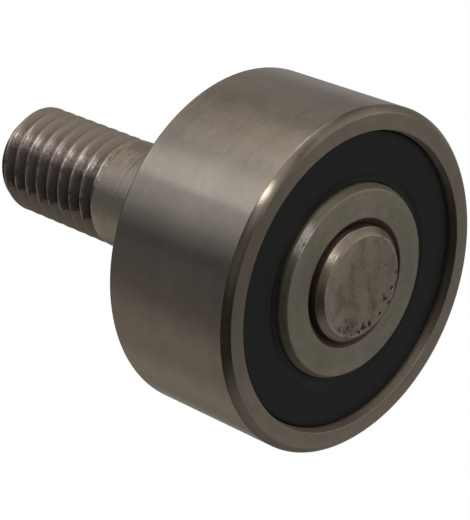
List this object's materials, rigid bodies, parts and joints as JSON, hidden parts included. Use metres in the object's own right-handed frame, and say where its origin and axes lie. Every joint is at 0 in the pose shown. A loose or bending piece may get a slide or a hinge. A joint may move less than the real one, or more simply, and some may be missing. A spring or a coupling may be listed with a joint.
{
  "type": "cam follower",
  "caption": "Stud-type cam follower: a wide sealed ball bearing as the roller, pressed on a plain collared stud with a metric thread at its far end.",
  "frame": {"origin": "on the stud's axis, in the rear face of its collar, where the follower rests against the part that carries it", "axes": "+Y along the stud's axis from the roller to the tip of the thread; the roller is on the -Y side; X and Z are across the axis, and the first ball is on +X"},
  "size_m": [0.03, 0.0413, 0.03],
  "materials": {
    "stud_steel": "turned, dark and lightly oiled",
    "ring_steel": "ground round the axis, warm grey",
    "seal_rubber": "moulded, satin black",
    "insert_steel": "pressed sheet",
    "cage_steel": "pressed sheet",
    "ball_steel": "lapped to a mirror"
  },
  "bodies": {
    "stud_body": {"stud": "stud_steel", "inner_ring": "ring_steel"},
    "roller_body": {"outer_ring": "ring_steel", "seal_rubber_front": "seal_rubber", "seal_insert_front": "insert_steel", "seal_rubber_rear": "seal_rubber", "seal_insert_rear": "insert_steel"},
    "cage_body": {"cage_front": "cage_steel", "cage_rear": "cage_steel", "cage_rivet_1": "cage_steel", "cage_rivet_2": "cage_steel", "cage_rivet_3": "cage_steel", "cage_rivet_4": "cage_steel", "cage_rivet_5": "cage_steel", "cage_rivet_6": "cage_steel", "cage_rivet_7": "cage_steel", "cage_rivet_8": "cage_steel"},
    "ball_1_body": {"ball_1": "ball_steel"},
    "ball_2_body": {"ball_2": "ball_steel"},
    "ball_3_body": {"ball_3": "ball_steel"},
    "ball_4_body": {"ball_4": "ball_steel"},
    "ball_5_body": {"ball_5": "ball_steel"},
    "ball_6_body": {"ball_6": "ball_steel"},
    "ball_7_body": {"ball_7": "ball_steel"},
    "ball_8_body": {"ball_8": "ball_steel"}
  },
  "joints": [
    {"name": "outer_spin", "type": "hinge", "parent": "stud_body", "child": "roller_body", "pos_m": [0, -0.00853, 0], "axis": [0, 1, 0], "continuous": true},
    {"name": "cage_spin", "type": "hinge", "parent": "stud_body", "child": "cage_body", "pos_m": [0, -0.00853, 0], "axis": [0, 1, 0], "continuous": true},
    {"name": "ball_1_spin", "type": "hinge", "parent": "cage_body", "child": "ball_1_body", "pos_m": [0.01, -0.00853, 0], "axis": [0, 1, 0], "continuous": true},
    {"name": "ball_2_spin", "type": "hinge", "parent": "cage_body", "child": "ball_2_body", "pos_m": [0.00707, -0.00853, -0.00707], "axis": [0, 1, 0], "continuous": true},
    {"name": "ball_3_spin", "type": "hinge", "parent": "cage_body", "child": "ball_3_body", "pos_m": [0, -0.00853, -0.01], "axis": [0, 1, 0], "continuous": true},
    {"name": "ball_4_spin", "type": "hinge", "parent": "cage_body", "child": "ball_4_body", "pos_m": [-0.00707, -0.00853, -0.00707], "axis": [0, 1, 0], "continuous": true},
    {"name": "ball_5_spin", "type": "hinge", "parent": "cage_body", "child": "ball_5_body", "pos_m": [-0.01, -0.00853, 0], "axis": [0, 1, 0], "continuous": true},
    {"name": "ball_6_spin", "type": "hinge", "parent": "cage_body", "child": "ball_6_body", "pos_m": [-0.00707, -0.00853, 0.00707], "axis": [0, 1, 0], "continuous": true},
    {"name": "ball_7_spin", "type": "hinge", "parent": "cage_body", "child": "ball_7_body", "pos_m": [0, -0.00853, 0.01], "axis": [0, 1, 0], "continuous": true},
    {"name": "ball_8_spin", "type": "hinge", "parent": "cage_body", "child": "ball_8_body", "pos_m": [0.00707, -0.00853, 0.00707], "axis": [0, 1, 0], "continuous": true}
  ],
  "couplings": [
    {"joint": "cage_spin", "follows": "outer_spin", "ratio": 0.61906},
    {"joint": "ball_1_spin", "follows": "outer_spin", "ratio": 1.9807},
    {"joint": "ball_2_spin", "follows": "outer_spin", "ratio": 1.9807},
    {"joint": "ball_3_spin", "follows": "outer_spin", "ratio": 1.9807},
    {"joint": "ball_4_spin", "follows": "outer_spin", "ratio": 1.9807},
    {"joint": "ball_5_spin", "follows": "outer_spin", "ratio": 1.9807},
    {"joint": "ball_6_spin", "follows": "outer_spin", "ratio": 1.9807},
    {"joint": "ball_7_spin", "follows": "outer_spin", "ratio": 1.9807},
    {"joint": "ball_8_spin", "follows": "outer_spin", "ratio": 1.9807}
  ]
}
